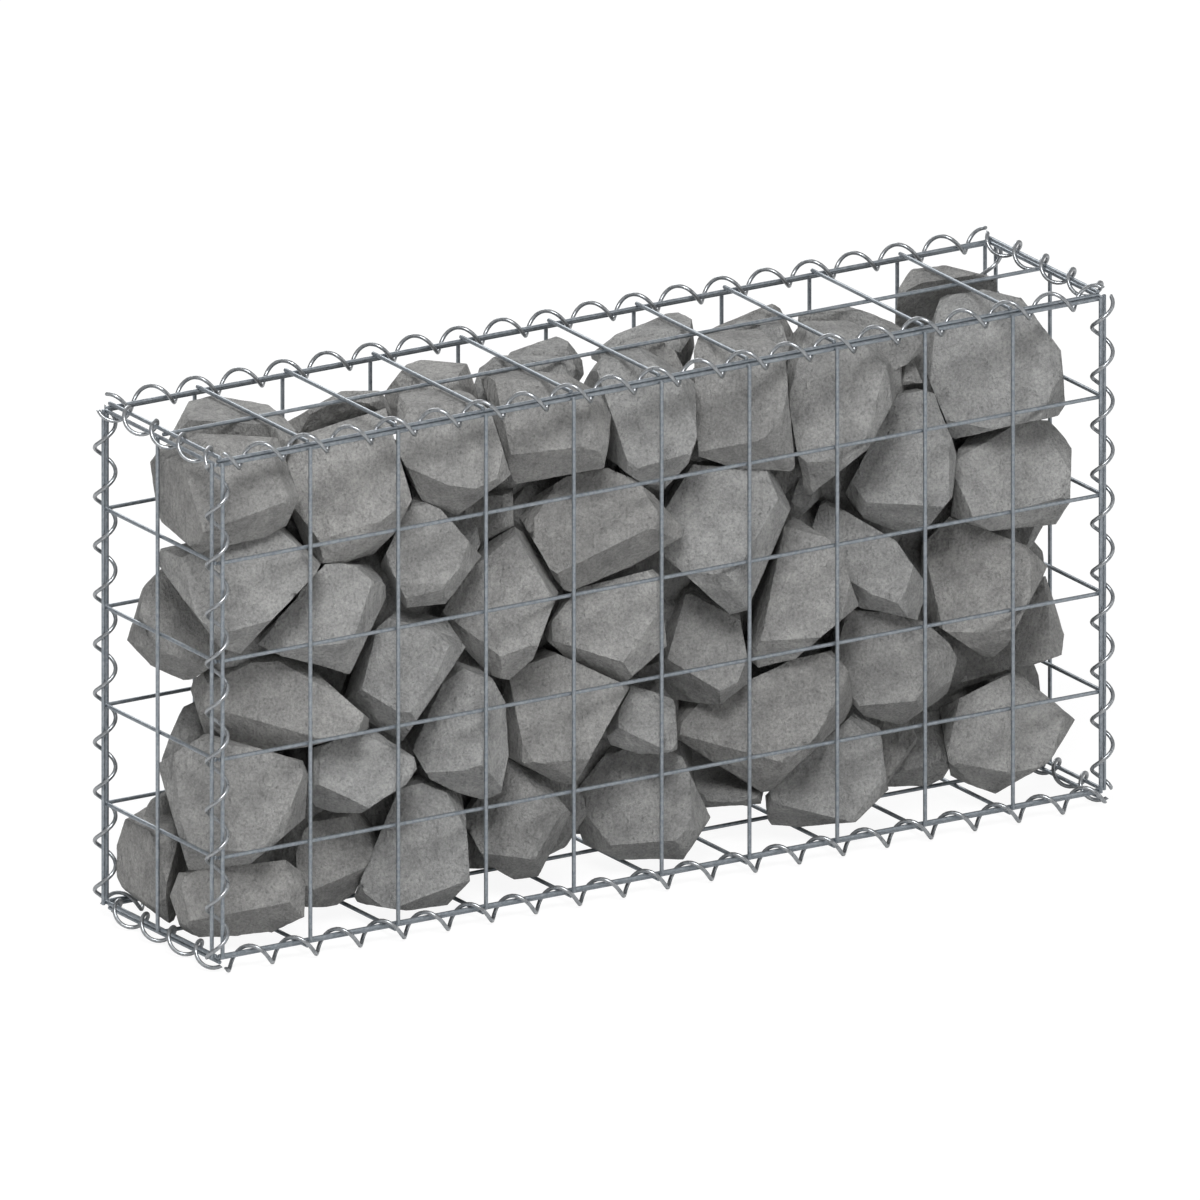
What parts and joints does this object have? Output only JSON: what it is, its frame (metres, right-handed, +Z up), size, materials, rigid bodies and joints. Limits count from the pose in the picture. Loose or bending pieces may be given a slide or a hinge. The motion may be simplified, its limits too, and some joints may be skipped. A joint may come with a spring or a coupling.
{
  "type": "gabion wall",
  "caption": "Free-standing gabion wall: a flat welded-wire basket with square mesh, laced along its edges with wire spirals and filled with rough quarried stone",
  "frame": {"origin": "on the ground under the middle of the wall, below the undersides of its bottom spirals", "axes": "+X along the wall's length to the right, +Y from its front face to its back face, +Z up"},
  "size_m": [1.0352, 0.2354, 0.5361],
  "materials": {
    "galvanised_mesh": "dull hot-dip galvanised wire",
    "galvanised_spiral": "bright galvanised wire",
    "quarried_stone": "rough broken faces, grey"
  },
  "bodies": {
    "root": {"front_panel": "galvanised_mesh", "back_panel": "galvanised_mesh", "left_end_panel": "galvanised_mesh", "right_end_panel": "galvanised_mesh", "base_panel": "galvanised_mesh", "lid_panel": "galvanised_mesh", "spiral_bottom_front": "galvanised_spiral", "spiral_bottom_back": "galvanised_spiral", "spiral_top_front": "galvanised_spiral", "spiral_top_back": "galvanised_spiral", "spiral_bottom_left": "galvanised_spiral", "spiral_bottom_right": "galvanised_spiral", "spiral_top_left": "galvanised_spiral", "spiral_top_right": "galvanised_spiral", "spiral_front_left": "galvanised_spiral", "spiral_front_right": "galvanised_spiral", "spiral_back_left": "galvanised_spiral", "spiral_back_right": "galvanised_spiral", "stones_front_course_1": "quarried_stone", "stones_front_course_2": "quarried_stone", "stones_front_course_3": "quarried_stone", "stones_front_course_4": "quarried_stone", "stones_front_course_5": "quarried_stone", "stones_back_course_1": "quarried_stone", "stones_back_course_2": "quarried_stone", "stones_back_course_3": "quarried_stone", "stones_back_course_4": "quarried_stone", "stones_back_course_5": "quarried_stone"}
  },
  "joints": []
}
